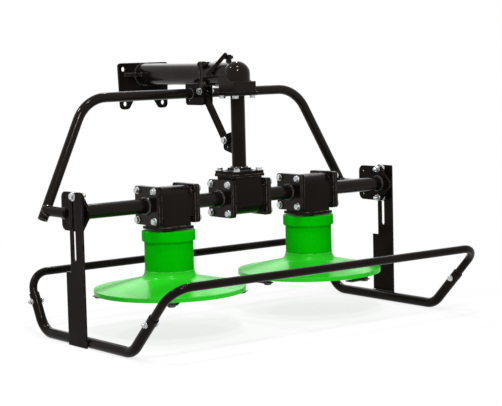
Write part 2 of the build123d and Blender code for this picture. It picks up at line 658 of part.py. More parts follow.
with BuildPart() as drive_flange:
    with BuildSketch(facing_front(0, FLANGE_Y + DRIVE_FLANGE_THICK, DRIVE_Z)):
        RectangleRounded(DRIVE_FLANGE, DRIVE_FLANGE, ELBOW_ROUND)
        with PolarLocations(DRIVE_FLANGE_WAIST + DRIVE_FLANGE_SCALLOP, 4):
            Circle(DRIVE_FLANGE_SCALLOP, mode=Mode.SUBTRACT)
        with GridLocations(DRIVE_BOLT_SPACING, DRIVE_BOLT_SPACING, 2, 2):
            Circle(DRIVE_BOLT_HOLE / 2, mode=Mode.SUBTRACT)
    extrude(amount=DRIVE_FLANGE_THICK)
keep(drive_flange, "drive_flange")

with BuildPart() as bearing_carrier:
    with BuildSketch(facing_front(0, BACK_Y - CARRIER_RECESS, DRIVE_Z)):
        Circle(DRIVE_PIPE / 2 - DRIVE_WALL - SEAT_GAP)
        Circle(COUPLING_DIAMETER / 2 + RUN_GAP, mode=Mode.SUBTRACT)
    extrude(amount=CARRIER_LENGTH)
keep(bearing_carrier, "bearing_carrier")

with BuildPart() as input_coupling:
    with BuildSketch(facing_front(0, BACK_Y - COUPLING_RECESS, DRIVE_Z)):
        Circle(COUPLING_DIAMETER / 2)
    extrude(amount=COUPLING_LENGTH)
    with BuildSketch(facing_front(0, BACK_Y - COUPLING_RECESS, DRIVE_Z)):
        Circle(COUPLING_BORE / 2)
    extrude(amount=COUPLING_BORE_DEPTH, mode=Mode.SUBTRACT)
keep(input_coupling, "input_coupling")

# Mounting plate with two rounded tabs, and the gussets beside the drive tube
with BuildPart() as mounting_plate:
    with BuildSketch(facing_front(0, BACK_Y, 0)):
        with BuildLine():
            Polyline((0, PLATE_TOP), (PLATE_TOP_HALF, PLATE_TOP), (TAB_OUTER_HALF, TAB_BOTTOM),
                     (TAB_INNER_HALF, TAB_BOTTOM), (TAB_ROOT_HALF, PLATE_WAIST), (0, PLATE_WAIST),
                     close=True)
        fillet(make_face().vertices().group_by(Axis.Y)[0], TAB_ROUND)
        mirror(about=Plane.YZ)
        with Locations((-TAB_HOLE_X, TAB_HOLE_Z), (TAB_HOLE_X, TAB_HOLE_Z),
                       (-TOP_HOLE_X, TOP_HOLE_Z), (TOP_HOLE_X, TOP_HOLE_Z)):
            Circle(PLATE_HOLE / 2, mode=Mode.SUBTRACT)
        with Locations((0, DRIVE_Z)):
            Circle(COUPLING_DIAMETER / 2 + COUPLING_CLEAR, mode=Mode.SUBTRACT)
    extrude(amount=PLATE_THICK)
keep(mounting_plate, "mounting_plate")

with BuildPart() as plate_gussets:
    with BuildSketch(Plane((0, PLATE_FRONT_Y, DRIVE_Z - GUSSET_THICK / 2))):
        with BuildLine():
            Polyline((DRIVE_PIPE / 2 + SEAT_GAP, 0), (DRIVE_PIPE / 2 + GUSSET_REACH, 0),
                     (DRIVE_PIPE / 2 + SEAT_GAP, -GUSSET_LENGTH), close=True)
        make_face()
        mirror(about=Plane.YZ)
    extrude(amount=GUSSET_THICK)
keep(plate_gussets, "plate_gussets")

# Hoop over the whole machine, and the slotted stubs that tie its feet to the end flanges
hoop_foot = (STUB_X, ROTOR_Y + HOOP_FOOT_Y, HOOP_STUB_Z)
hoop_corner = (HOOP_TOP_HALF, ROTOR_Y + HOOP_TOP_Y, HOOP_TOP_Z)
leg_length = (Vector(*hoop_corner) - Vector(*hoop_foot)).length
hoop_end = along(hoop_corner, hoop_foot, leg_length + HOOP_FOOT_DROP)
hoop_route = [(-hoop_end.X, hoop_end.Y, hoop_end.Z), (-hoop_corner[0], hoop_corner[1], hoop_corner[2]),
              hoop_corner, (hoop_end.X, hoop_end.Y, hoop_end.Z)]
hoop_pipe = bent_pipe(hoop_route, HOOP_BEND, RAIL_PIPE, RAIL_WALL)
with BuildPart() as hoop:
    add(hoop_pipe)
keep(hoop, "hoop")

for name, side in SIDES:
    foot = Vector(side * hoop_foot[0], hoop_foot[1], hoop_foot[2])
    corner = Vector(side * hoop_corner[0], hoop_corner[1], hoop_corner[2])
    leg = Plane(foot, z_dir=corner - foot)
    with BuildPart() as hoop_stub:
        with BuildSketch(facing_front(side * STUB_X, hoop_foot[1], HOOP_STUB_Z)):
            Circle(RAIL_R)
            Circle(RAIL_R - RAIL_WALL, mode=Mode.SUBTRACT)
        extrude(amount=HOOP_FOOT_Y - END_FLANGE_BACK + STUB_SLOT)
        with BuildSketch(facing_front(side * STUB_X, ROTOR_Y + END_FLANGE_BACK + SEAT_GAP, HOOP_STUB_Z)):
            Rectangle(END_FLANGE_THICK + 2 * SEAT_GAP, 2 * RAIL_PIPE)
        extrude(amount=STUB_SLOT + SEAT_GAP, mode=Mode.SUBTRACT)
        with BuildSketch(leg):
            Circle(RAIL_R + SEAT_GAP)
        extrude(amount=RAIL_PIPE, both=True, mode=Mode.SUBTRACT)
    keep(hoop_stub, f"hoop_stub_{name}")

# Bracket of two cheeks under the drive tube; the hoop passes through both
with BuildPart() as hoop_bracket:
    for low_x in (-CHEEK_PLATE_X - CHEEK_PLATE_THICK / 2, CHEEK_PLATE_X - CHEEK_PLATE_THICK / 2):
        with BuildSketch(facing_x(low_x, ROTOR_Y, 0)):
            with BuildLine():
                Polyline((CHEEK_FRONT, DRIVE_Z), (CHEEK_FRONT, CHEEK_BOTTOM), (CHEEK_BACK, CHEEK_BOTTOM),
                         (CHEEK_BACK, DRIVE_Z), close=True)
            fillet(make_face().vertices().group_by(Axis.Y)[0], CHEEK_ROUND)
            with Locations((HOOP_TOP_Y, HOOP_TOP_Z)):
                Circle(RAIL_R + SEAT_GAP, mode=Mode.SUBTRACT)
            with Locations((BRACE_TOP_Y, BRACE_TOP_Z), (CHEEK_SPARE_Y, CHEEK_SPARE_Z)):
                Circle(BRACE_BOLT / 2 + HOLE_PLAY, mode=Mode.SUBTRACT)
        extrude(amount=CHEEK_PLATE_THICK)
    with BuildSketch(facing_front(0, ROTOR_Y + CHEEK_BACK, DRIVE_Z)):
        Circle(DRIVE_PIPE / 2 + SEAT_GAP)
    extrude(amount=CHEEK_BACK - CHEEK_FRONT, mode=Mode.SUBTRACT)
keep(hoop_bracket, "hoop_bracket")

# Brace from the bracket down to the column lug, with its two bolts
brace_top = (ROTOR_Y + BRACE_TOP_Y, BRACE_TOP_Z)
brace_foot = (LUG_HOLE_Y, BRACE_FOOT_Z)
brace_rise = (brace_top[0] - brace_foot[0], brace_top[1] - brace_foot[1])
with BuildPart() as brace_bar:
    with BuildSketch(facing_x(BRACE_X - BRACE_THICK / 2, 0, 0)):
        middle = ((brace_top[0] + brace_foot[0]) / 2, (brace_top[1] + brace_foot[1]) / 2)
        with Locations(Location(middle, math.degrees(math.atan2(brace_rise[1], brace_rise[0])))):
            SlotCenterToCenter(math.hypot(*brace_rise), BRACE_WIDTH)
        with Locations(brace_top, brace_foot):
            Circle(BRACE_BOLT / 2 + HOLE_PLAY, mode=Mode.SUBTRACT)
    extrude(amount=BRACE_THICK)
keep(brace_bar, "brace_bar")

cheek_out = CHEEK_PLATE_X + CHEEK_PLATE_THICK / 2 + SEAT_GAP
top_bolt = cross_bolt(-cheek_out, brace_top[0], brace_top[1], 2 * cheek_out, BRACE_BOLT)
foot_bolt = cross_bolt(BRACE_X - BRACE_THICK / 2 - SEAT_GAP, brace_foot[0], brace_foot[1],
                       BRACE_THICK + LUG_THICK + 2 * SEAT_GAP, BRACE_BOLT)
with BuildPart() as brace_bolts:
    add([top_bolt, foot_bolt])
keep(brace_bolts, "brace_bolts")

# Skids, guards and slotted plates
front_low = (ROTOR_Y - SKID_FRONT, SKID_Z)
back_low = (ROTOR_Y + SKID_BACK, SKID_Z)
front_high = (FRONT_GUARD_Y, FRONT_GUARD_Z)
back_high = (ROTOR_Y + REAR_GUARD_Y, REAR_GUARD_Z)
legs = ((front_low, front_high, FRONT_SLEEVE), (back_low, back_high, REAR_SLEEVE))
sleeve_ends = [along(low, high, sleeve) for low, high, sleeve in legs]
bolt_points = [along(low, high, sleeve - SLEEVE_BOLT_BACK) for low, high, sleeve in legs]
insert_ends = [along(low, high, sleeve - GUARD_INSERT) for low, high, sleeve in legs]

for name, side in SIDES:
    x = side * SKID_X
    route = [(x, sleeve_ends[0].X, sleeve_ends[0].Y), (x, *front_low), (x, *back_low),
             (x, sleeve_ends[1].X, sleeve_ends[1].Y)]
    skid_pipe = bent_pipe(route, SKID_BEND, RAIL_PIPE, RAIL_WALL)
    with BuildPart() as skid:
        add(skid_pipe)
        for point in bolt_points:
            with Locations((x, point.X, point.Y)):
                Cylinder(SLEEVE_BOLT / 2 + HOLE_PLAY, 2 * RAIL_PIPE, rotation=(0, 90, 0), mode=Mode.SUBTRACT)
    keep(skid, f"skid_{name}")

    low_x = min(side * PLATE_IN_X, side * (PLATE_IN_X + SKID_PLATE_THICK))
    with BuildPart() as skid_plate:
        with BuildSketch(facing_x(low_x, ROTOR_Y, 0)):
            with BuildLine():
                Polyline((-SKID_PLATE_FRONT, SKID_PLATE_BOTTOM), (SKID_PLATE_FOOT, SKID_PLATE_BOTTOM),
                         (SKID_PLATE_FOOT, SKID_PLATE_STEP), (SKID_PLATE_BACK, SKID_PLATE_STEP),
                         (SKID_PLATE_BACK, SKID_PLATE_TOP), (-SKID_PLATE_FRONT, SKID_PLATE_TOP), close=True)
            fillet(make_face().vertices().group_by(Axis.Y)[-1], SKID_PLATE_ROUND)
            with Locations((0, (SLOT_BOTTOM + SLOT_TOP) / 2)):
                SlotOverall(SLOT_TOP - SLOT_BOTTOM, 2 * SLOT_R, rotation=90, mode=Mode.SUBTRACT)
        extrude(amount=SKID_PLATE_THICK)
    keep(skid_plate, f"skid_plate_{name}")

for name, high, inner, point in (("front_guard", front_high, insert_ends[0], bolt_points[0]),
                                 ("rear_guard", back_high, insert_ends[1], bolt_points[1])):
    route = [(-SKID_X, inner.X, inner.Y), (-SKID_X, *high), (SKID_X, *high), (SKID_X, inner.X, inner.Y)]
    guard_pipe = bent_pipe(route, GUARD_BEND, GUARD_PIPE, GUARD_WALL)
    with BuildPart() as guard:
        add(guard_pipe)
        with Locations((-SKID_X, point.X, point.Y), (SKID_X, point.X, point.Y)):
            Cylinder(SLEEVE_BOLT / 2 + HOLE_PLAY, 2 * GUARD_PIPE, rotation=(0, 90, 0), mode=Mode.SUBTRACT)
    keep(guard, name)

sleeve_bolts = [cross_bolt(side * SKID_X - RAIL_R - SEAT_GAP, point.X, point.Y,
                           RAIL_PIPE + 2 * SEAT_GAP, SLEEVE_BOLT)
                for name, side in SIDES for point in bolt_points]
with BuildPart() as guard_bolts:
    add(sleeve_bolts)
keep(guard_bolts, "guard_bolts")
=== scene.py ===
import json
import math
import random

import bpy
from mathutils import Matrix, Vector


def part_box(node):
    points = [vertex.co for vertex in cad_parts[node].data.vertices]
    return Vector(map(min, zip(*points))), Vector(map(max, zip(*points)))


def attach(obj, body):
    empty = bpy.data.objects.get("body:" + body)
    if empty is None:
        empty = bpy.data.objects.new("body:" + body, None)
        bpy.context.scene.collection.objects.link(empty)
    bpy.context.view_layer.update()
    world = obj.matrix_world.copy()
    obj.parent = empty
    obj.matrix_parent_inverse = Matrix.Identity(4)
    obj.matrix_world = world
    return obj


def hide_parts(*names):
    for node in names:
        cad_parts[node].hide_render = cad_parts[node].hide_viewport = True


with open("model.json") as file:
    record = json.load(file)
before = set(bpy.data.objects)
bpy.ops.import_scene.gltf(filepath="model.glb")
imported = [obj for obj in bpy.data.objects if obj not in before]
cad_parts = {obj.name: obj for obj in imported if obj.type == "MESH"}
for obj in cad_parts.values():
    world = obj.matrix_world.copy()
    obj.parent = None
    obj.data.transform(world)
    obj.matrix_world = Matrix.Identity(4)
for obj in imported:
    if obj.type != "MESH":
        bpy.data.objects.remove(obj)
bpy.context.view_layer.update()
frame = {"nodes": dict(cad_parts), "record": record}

# Dressing of the disc mower, in metres and degrees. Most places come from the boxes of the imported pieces.

# Camera, as fitted to the photograph of 502 by 406 pixels
PHOTO_WIDTH = 502
PHOTO_FOCAL = 1563.488
SENSOR_WIDTH = 36.0
CAMERA_AZIMUTH = -37.8158
CAMERA_PITCH = 5.6897
CAMERA_ROLL = -1.3943
CAMERA_DISTANCE = 5.3168
CAMERA_TARGET = Vector((0.0464, -0.031, 0.4010))

# Pipes of the frame
FRAME_PIPE_R = 0.02415
RAIL_PIPE_R = 0.01685
DRIVE_PIPE_R = 0.038

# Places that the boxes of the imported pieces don't give
HOOP_TOP_HALF = 0.449
HOOP_FOOT_Y = 0.1755
BRACE_WIDTH = 0.029
CHEEK_THICK = 0.008
TUBE_PLATE_THICK = 0.008
PAD_HALF = 0.030

# Mounting plate: half its outline, its holes as X and Z, and the steps of its arcs
TAB_OUTER_HALF = 0.102
TAB_INNER_HALF = 0.066
TAB_ROOT_HALF = 0.042
PLATE_WAIST_Z = 0.752
TAB_ROUND = 0.015
PLATE_ROUND = 0.012
PLATE_EDGE = 0.0008
TAB_HOLE = (0.082, 0.735)
TOP_HOLE = (0.087, 0.860)
PLATE_HOLE_R = 0.0085
PLATE_BORE_R = 0.029
CORNER_STEPS = 8
HOLE_STEPS = 40

# Bolted joints: half of each bolt square, then the threads
TUBE_BOLT_HALF = 0.048
BASE_BOLT_HALF = 0.047
HEAD_BOLT_HALF = 0.036
DRIVE_BOLT_HALF = 0.034
FRAME_THREAD = 0.012
SMALL_THREAD = 0.010

# Hex heads and nuts, as shares of the thread and then of their own size
HEX_FLATS = 1.55
HEX_HEIGHT = 0.64
HEX_CHAMFER = 0.94
HEX_SLOPE = math.tan(math.radians(30))
HEX_DISH_R = 0.8
HEX_DISH_LEVEL = 0.985
HEX_STEPS = 48

# Washers, as shares of the thread, with their edge as a share of their height
WASHER_RADIUS = 1.0
WIDE_WASHER_RADIUS = 1.25
WASHER_HEIGHT = 0.2
WASHER_BORE = 0.54
WASHER_EDGE = 0.25

# Threaded ends, as shares of the thread
THREAD_END = 0.45
LONG_THREAD_END = 0.85
THREAD_ROOT = 0.1
THREAD_PITCH = 0.15
THREAD_DEPTH = 0.075

# Turned shapes: the pinhole on their axis, and their steps
AXIS_R = 0.001
TURNED_STEPS = 32
THREAD_STEPS = 24

# Weld beads: size and ripples
BEAD_R = 0.0036
PLATE_BEAD_R = 0.0054
BEAD_PITCH = 0.0042
BEAD_RIPPLE = 0.16
BEAD_SIDES = 8
BEAD_RINGS_PER_RIPPLE = 4
SEAM_STEPS = 72

# Weld beads: slow change of width along a bead, thin tips, and the slope from which it counts as upright
BEAD_DRIFT = 0.06
BEAD_DRIFT_STEP = 0.37
BEAD_DRIFT_START = 6
BEAD_TIP = 0.35
BEAD_TIP_GROWTH = 0.25
UPRIGHT = 0.8

# Weld beads: how far a bead's centre stands off a face or a plate, as shares of its radius
BEAD_RISE = 0.3
BEAD_STAND = 0.7

# Domes on the ends of the hoop's stubs: share of the radius, then height
STUB_CAP_R = 0.0166
STUB_DOME = ((1.0, -0.002), (1.0, 0.0), (0.94, 0.0035), (0.75, 0.0062), (0.42, 0.0078), (0.1, 0.0082))
CAP_STEPS = 24

# Angle from which an edge of a new piece is sharp
SHARP_ANGLE = 32

random.seed(7)
SIDES = (("left", -1), ("right", 1))
SQUARE = ((-1, -1), (1, -1), (1, 1), (-1, 1))
X_AXIS = Vector((1, 0, 0))
Y_AXIS = Vector((0, 1, 0))
Z_AXIS = Vector((0, 0, 1))


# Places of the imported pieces

def middle(node):
    low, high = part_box(node)
    return (Vector(low) + Vector(high)) / 2


def low_corner(node):
    return Vector(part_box(node)[0])


def high_corner(node):
    return Vector(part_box(node)[1])


def sides_of(node, side):
    """Inner and outer X of a piece on the left or the right."""
    low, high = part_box(node)
    return (low[0], high[0]) if side > 0 else (high[0], low[0])


def tube_plate_faces(name, side):
    """X of the faces of the tube plates that the bolt heads stand on, and the way each looks along X."""
    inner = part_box(f"inner_tube_{name}")
    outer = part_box(f"outer_tube_{name}")
    outer_face = outer[0][0] + TUBE_PLATE_THICK if side > 0 else outer[1][0] - TUBE_PLATE_THICK
    return [(inner[0][0] + TUBE_PLATE_THICK, 1), (inner[1][0] - TUBE_PLATE_THICK, -1), (outer_face, side)]


# Shapes

class Shape:
    """Points and faces of a mesh that is put together from rings."""

    def __init__(self):
        self.points = []
        self.faces = []

    def add_rings(self, rings, joined=False):
        """Joins rings of equally many points, and then the last to the first, or else covers both."""
        first = len(self.points)
        count = len(rings[0])
        for ring in rings:
            self.points.extend(tuple(point) for point in ring)
        spans = len(rings) if joined else len(rings) - 1
        for span in range(spans):
            here = first + span * count
            there = first + (span + 1) % len(rings) * count
            for step in range(count):
                after = (step + 1) % count
                self.faces.append((here + step, here + after, there + after, there + step))
        if not joined:
            last = first + (len(rings) - 1) * count
            self.faces.append(tuple(first + step for step in reversed(range(count))))
            self.faces.append(tuple(last + step for step in range(count)))


def turn_to(direction, spin=0.0):
    """Rotation that takes Z to a direction, after a spin about Z."""
    return Z_AXIS.rotation_difference(direction).to_matrix() @ Matrix.Rotation(spin, 3, "Z")


def lathe(shape, profile, origin, direction, steps=TURNED_STEPS):
    """Closed solid of revolution from (radius, height) points, the last of them joined to the first."""
    turn = turn_to(direction)
    rings = []
    for radius, height in profile:
        ring = []
        for step in range(steps):
            angle = 2 * math.pi * step / steps
            ring.append(origin + turn @ Vector((radius * math.cos(angle), radius * math.sin(angle), height)))
        rings.append(ring)
    shape.add_rings(rings, joined=True)


def hexagon(shape, origin, direction, flats, height, spin):
    """Hex head or nut with the round chamfer that turned bar leaves on its outer face."""
    turn = turn_to(direction, spin)
    chamfer_r = HEX_CHAMFER * flats / 2
    rings = [[], [], [], [], []]
    for step in range(HEX_STEPS):
        angle = 2 * math.pi * step / HEX_STEPS
        off_flat = (angle + math.pi / 6) % (math.pi / 3) - math.pi / 6
        corner_r = flats / 2 / math.cos(off_flat)
        drop = max(0.0, corner_r - chamfer_r) * HEX_SLOPE
        outline = ((chamfer_r, 0.0), (corner_r, 0.0), (corner_r, height - drop), (chamfer_r, height),
                   (HEX_DISH_R * chamfer_r, HEX_DISH_LEVEL * height))
        for ring, (radius, level) in zip(rings, outline):
            place = Vector((radius * math.cos(angle), radius * math.sin(angle), level))
            ring.append(origin + turn @ place)
    shape.add_rings(rings)


def washer(shape, origin, direction, thread, width):
    """Washer with a broken outer edge. Returns the middle of its upper face."""
    radius = width * thread
    height = WASHER_HEIGHT * thread
    bore = WASHER_BORE * thread
    edge = WASHER_EDGE * height
    lathe(shape, [(bore, 0), (radius, 0), (radius, height - edge), (radius - edge, height), (bore, height)],
          origin, direction)
    return origin + direction * height


def bolt_head(shape, seat, direction, thread, width=WASHER_RADIUS):
    """Washer and hex head on a seat, pointing out along the direction."""
    top = washer(shape, seat, direction, thread, width)
    hexagon(shape, top, direction, HEX_FLATS * thread, HEX_HEIGHT * thread, random.uniform(0, math.pi))


def bolt_nut(shape, seat, direction, thread, spare=THREAD_END):
    """Washer, nut and the threaded end of the bolt."""
    top = washer(shape, seat, direction, thread, WASHER_RADIUS)
    hexagon(shape, top, direction, HEX_FLATS * thread, HEX_HEIGHT * thread, random.uniform(0, math.pi))
    face = top + direction * HEX_HEIGHT * thread
    profile = [(AXIS_R, -THREAD_ROOT * thread)]
    crest = thread / 2
    turns = int(spare / THREAD_PITCH)
    for turn in range(turns):
        low = turn * THREAD_PITCH * thread
        profile.append((crest - THREAD_DEPTH * thread, low))
        profile.append((crest, low + THREAD_PITCH * thread / 2))
    tip = turns * THREAD_PITCH * thread + THREAD_DEPTH * thread
    profile.extend([(crest - 2 * THREAD_DEPTH * thread, tip), (AXIS_R, tip)])
    lathe(shape, profile, face, direction, THREAD_STEPS)


def shank(shape, start, end, thread):
    """Plain shank of a bolt between its head and its nut."""
    along = end - start
    lathe(shape, [(AXIS_R, 0), (thread / 2, 0), (thread / 2, along.length), (AXIS_R, along.length)],
          start, along.normalized(), THREAD_STEPS)


def through_bolt(shape, head_seat, nut_seat, thread, width=WASHER_RADIUS, spare=THREAD_END):
    """Bolt with a washer and head on one seat, and a washer, nut and spare thread on the other."""
    along = (nut_seat - head_seat).normalized()
    shank(shape, head_seat, nut_seat, thread)
    bolt_head(shape, head_seat, -along, thread, width)
    bolt_nut(shape, nut_seat, along, thread, spare)


def walk(points, closed, step):
    """Points spaced evenly along a route."""
    route = points + [points[0]] if closed else points
    lengths = [(after - before).length for before, after in zip(route, route[1:])]
    total = sum(lengths)
    count = max(2, round(total / step))
    spaced = []
    index = 0
    passed = 0.0
    for number in range(count if closed else count + 1):
        goal = total * number / count
        while index < len(lengths) - 1 and passed + lengths[index] < goal:
            passed += lengths[index]
            index += 1
        share = (goal - passed) / lengths[index]
        spaced.append(route[index].lerp(route[index + 1], min(1.0, share)))
    return spaced


def weld(shape, points, closed=False, radius=BEAD_R):
    """Rippled bead along a route."""
    spaced = walk(points, closed, BEAD_PITCH / BEAD_RINGS_PER_RIPPLE)
    count = len(spaced)
    rings = []
    drift = random.uniform(0, BEAD_DRIFT_START)
    for number, point in enumerate(spaced):
        before = spaced[number - 1] if closed or number else point
        after = spaced[(number + 1) % count] if closed or number < count - 1 else point
        ahead = (after - before).normalized()
        side = ahead.cross(Z_AXIS if abs(ahead.z) < UPRIGHT else X_AXIS).normalized()
        rise = side.cross(ahead)
        phase = number % BEAD_RINGS_PER_RIPPLE / BEAD_RINGS_PER_RIPPLE
        swell = 1 + BEAD_RIPPLE * (phase - 0.5) + BEAD_DRIFT * math.sin(drift + BEAD_DRIFT_STEP * number)
        if not closed:
            swell *= min(1.0, BEAD_TIP + BEAD_TIP_GROWTH * min(number, count - 1 - number))
        ring = []
        for corner in range(BEAD_SIDES):
            angle = 2 * math.pi * corner / BEAD_SIDES
            ring.append(point + (side * math.cos(angle) + rise * math.sin(angle)) * radius * swell)
        rings.append(ring)
    shape.add_rings(rings, joined=closed)


def circle(centre, direction, radius):
    """Route of a bead around a pipe."""
    turn = turn_to(direction)
    route = []
    for step in range(SEAM_STEPS):
        angle = 2 * math.pi * step / SEAM_STEPS
        route.append(centre + turn @ Vector((radius * math.cos(angle), radius * math.sin(angle), 0)))
    return route


def pipe_on_pipe(foot, lean):
    """Seam where a pipe that runs back along Y meets a leaning pipe of the same size."""
    route = []
    across = Y_AXIS - lean * lean.y
    for step in range(SEAM_STEPS):
        angle = 2 * math.pi * step / SEAM_STEPS
        start = Vector((math.cos(angle), 0, math.sin(angle))) * RAIL_PIPE_R
        off = start - lean * start.dot(lean)
        inside = off.dot(across) ** 2 - across.length_squared * (off.length_squared - RAIL_PIPE_R ** 2)
        reach = (-off.dot(across) - math.sqrt(max(0.0, inside))) / across.length_squared
        route.append(foot + start + Y_AXIS * reach)
    return route


def stub_cap(shape, centre, face, side):
    """Dome that closes one half of a slotted pipe's end, on the face of the flange that it sits on."""
    foot = Vector((face, centre.y, centre.z))
    spread = math.acos(abs(face - centre.x) / STUB_CAP_R)
    rings = []
    for share, rise in STUB_DOME:
        ring = []
        for step in range(CAP_STEPS + 1):
            angle = spread * (2 * step / CAP_STEPS - 1)
            rim = centre + Vector((side * math.cos(angle), 0, math.sin(angle))) * STUB_CAP_R
            ring.append(foot.lerp(rim, share) - Y_AXIS * rise)
        rings.append(ring)
    shape.add_rings(rings)


def round_corners(corners):
    """Outline with an arc at each corner that has a radius."""
    outline = []
    for number, (x, z, radius) in enumerate(corners):
        here = Vector((x, z))
        before = (Vector(corners[number - 1][:2]) - here).normalized()
        after = (Vector(corners[(number + 1) % len(corners)][:2]) - here).normalized()
        if not radius:
            outline.append(here)
            continue
        half = before.angle(after) / 2
        centre = here + (before + after).normalized() * radius / math.sin(half)
        start = here + before * radius / math.tan(half) - centre
        end = here + after * radius / math.tan(half) - centre
        for step in range(CORNER_STEPS + 1):
            spoke = start.lerp(end, step / CORNER_STEPS)
            outline.append(centre + spoke.normalized() * radius)
    return outline


def hole(x, z, radius):
    """Outline of a round hole in the mounting plate."""
    angles = [2 * math.pi * step / HOLE_STEPS for step in range(HOLE_STEPS)]
    return [Vector((x + radius * math.cos(angle), z + radius * math.sin(angle))) for angle in angles]


def plate_mesh(outlines, front, back, edge):
    """Plate across Y from an outline and the holes in it, with broken edges."""
    curve = bpy.data.curves.new("plate", "CURVE")
    curve.dimensions = "2D"
    curve.fill_mode = "BOTH"
    curve.extrude = (back - front) / 2 - edge
    curve.bevel_depth = edge
    curve.bevel_resolution = 1
    curve.offset = -edge
    for outline in outlines:
        spline = curve.splines.new("POLY")
        spline.points.add(len(outline) - 1)
        for point, place in zip(spline.points, outline):
            point.co = (place.x, place.y, 0, 1)
        spline.use_cyclic_u = True
    holder = bpy.data.objects.new("plate", curve)
    mesh = bpy.data.meshes.new_from_object(holder)
    bpy.data.objects.remove(holder)
    bpy.data.curves.remove(curve)
    mesh.transform(Matrix.Translation((0, (front + back) / 2, 0)) @ Matrix.Rotation(math.pi / 2, 4, "X"))
    return mesh


def make_piece(name, shape, body, material, replaced=()):
    """Turns a shape into an object that rides on a body."""
    mesh = bpy.data.meshes.new(name)
    mesh.from_pydata(shape.points, [], shape.faces)
    mesh.validate()
    finish_piece(name, mesh, body, material, replaced)


def finish_piece(name, mesh, body, material, replaced=()):
    """Shades a mesh, gives it its material and lets it ride on a body."""
    mesh.polygons.foreach_set("use_smooth", [True] * len(mesh.polygons))
    mesh.set_sharp_from_angle(angle=math.radians(SHARP_ANGLE))
    mesh.materials.append(material)
    piece = bpy.data.objects.new(name, mesh)
    bpy.context.scene.collection.objects.link(piece)
    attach(piece, body)
    if replaced:
        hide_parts(*replaced)


# Materials

# Noise textures: size of the grain as features per metre, then octaves
SWELL_NOISE = (45.0, 3.0)
DRIFT_NOISE = (7.0, 4.0)
# The next noise breaks up the painted edge highlight into patches
EDGE_HIGHLIGHT_NOISE = (60.0, 5.0)
HAZE_NOISE = (26.0, 6.0)
PEEL_NOISE = (420.0, 2.0)
MOTTLE_NOISE = (180.0, 4.0)
PLATING_NOISE = (90.0, 5.0)
SCRATCH_NOISE = (900.0, 2.0)
TURNING_NOISE = (700.0, 2.0)
STAIN_NOISE = (30.0, 5.0)
SCALE_NOISE = (55.0, 6.0)
TEMPER_NOISE = (140.0, 5.0)
PIT_NOISE = (260.0, 4.0)
SPECKLE_NOISE = (300.0, 3.0)

# Parts of a noise's range that are spread over the whole
WIDE = (0.3, 0.7)
MIDDLE = (0.35, 0.65)
STAINED = (0.35, 0.7)
NARROW = (0.38, 0.62)

# Dot product of the rounded and the plain normal, from no edge to a full edge
EDGE_TURN = (0.99, 0.8)
BEVEL_SAMPLES = 6

# Depths of the bumps, and the radius of the edges of bare metal
PEEL_DEPTH = 0.00012
SCRATCH_DEPTH = 0.00006
TURNING_DEPTH = 0.00005
PIT_DEPTH = 0.0001
METAL_EDGE = 0.0006
KNIFE_EDGE = 0.0008

# Roughness: how far it drifts on paint and plating, and its range on bare steel
HAZE_SPAN = 0.12
PLATING_SPAN = 0.16
TURNED_ROUGHNESS = (0.28, 0.46)
KNIFE_ROUGHNESS = (0.36, 0.6)

# Colours of the paints: darkest and lightest, then a paler colour mixed in on the edges as a painted
# highlight
BLACK_TONES = ((0.0040, 0.0028, 0.0023), (0.0075, 0.0054, 0.0045))
DISC_TONES = ((0.014, 0.500, 0.010), (0.020, 0.560, 0.014))
DRUM_TONES = ((0.001, 0.400, 0.001), (0.002, 0.460, 0.002))
EDGE_HIGHLIGHT_BLACK = (0.11, 0.090, 0.078)
EDGE_HIGHLIGHT_CASTING = (0.24, 0.195, 0.165)
EDGE_HIGHLIGHT_WELD = (0.20, 0.17, 0.15)
EDGE_HIGHLIGHT_DISC = (0.14, 0.70, 0.10)
EDGE_HIGHLIGHT_DRUM = (0.38, 0.80, 0.32)

# Tints of the mirror images in the paints
WARM_TINT = (1.0, 0.84, 0.72, 1.0)
PLAIN_TINT = (1.0, 1.0, 1.0, 1.0)

# Colours of the metals
ZINC_TONES = ((0.43, 0.44, 0.45), (0.68, 0.69, 0.69))
STEEL_TONES = ((0.40, 0.39, 0.38), (0.27, 0.255, 0.24))
KNIFE_TONES = ((0.045, 0.045, 0.05), (0.085, 0.082, 0.08))
BRIGHT_KNIFE_EDGE = (0.3, 0.3, 0.3)
KNIFE_METALLIC = 0.85

# Stretch of the scratches, and of the rings that a lathe leaves about an upright axis or one along Y
SCRATCH_STRETCH = (1.0, 1.0, 0.08)
UPRIGHT_RINGS = (0.05, 0.05, 1.0)
RINGS_ALONG_Y = (0.05, 1.0, 0.05)


